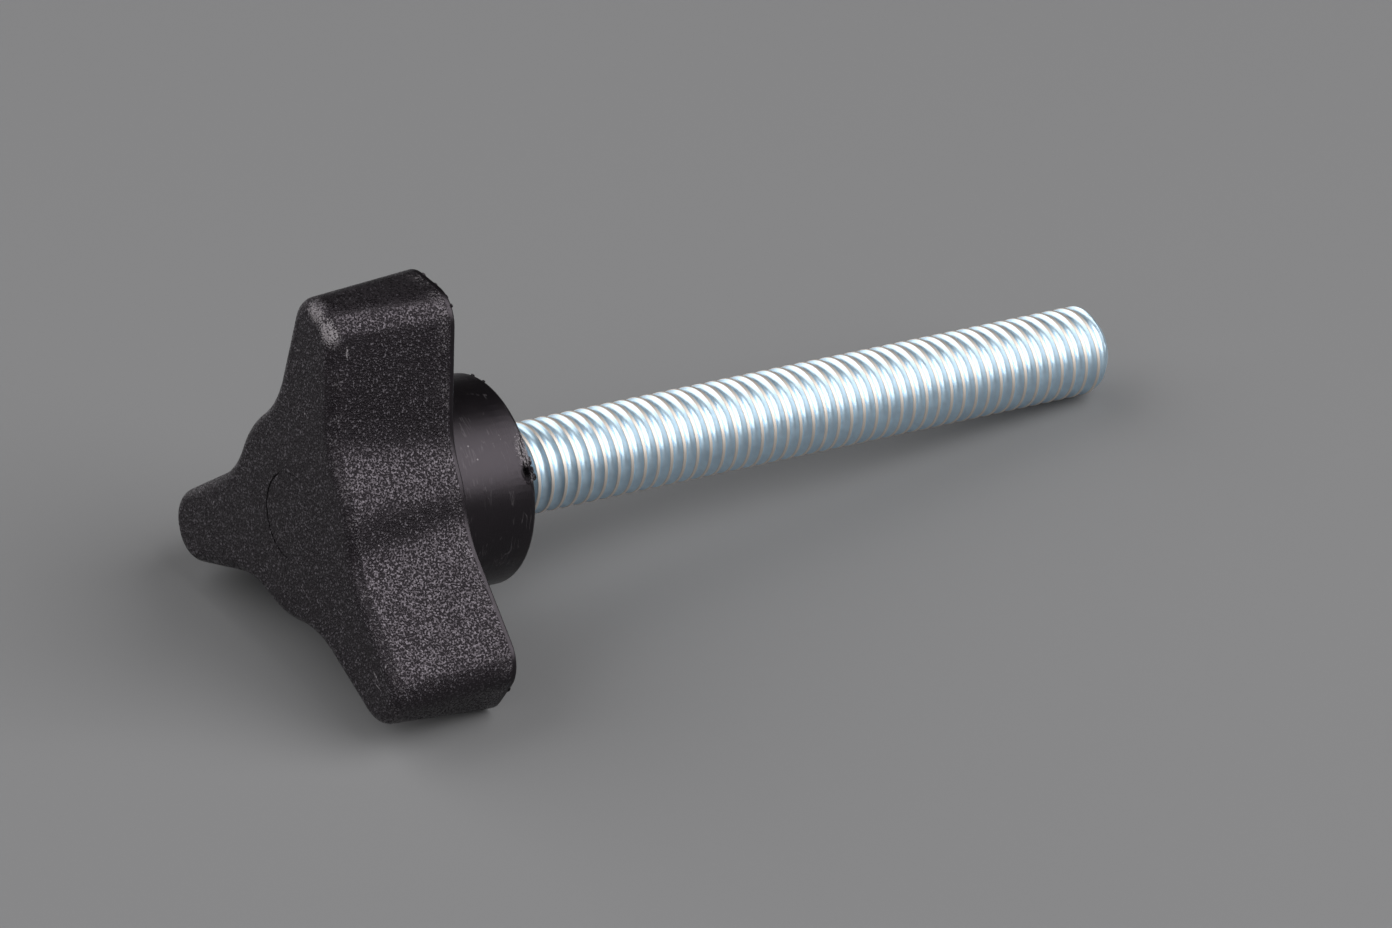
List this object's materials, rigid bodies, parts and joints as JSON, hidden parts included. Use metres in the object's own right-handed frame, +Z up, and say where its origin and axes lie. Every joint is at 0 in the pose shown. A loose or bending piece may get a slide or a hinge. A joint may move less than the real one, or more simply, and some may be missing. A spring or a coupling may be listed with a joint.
{
  "type": "thumb screw",
  "caption": "Moulded knob with spread arms and a long threaded steel stud fixed in its hub, turned by hand to clamp or adjust.",
  "frame": {"origin": "on the floor, under the middle of the part's box, with the screw lying as it comes to rest", "axes": "+Z up; +X along the stud from the knob to its point, seen from above (the stud dips 7.0 degrees below +X); +Y to the left of that"},
  "size_m": [0.099, 0.0434, 0.0395],
  "materials": {
    "black_plastic": "matte",
    "zinc_steel": "satin"
  },
  "bodies": {
    "root": {"knob": "black_plastic", "threaded_stud": "zinc_steel"}
  },
  "joints": []
}
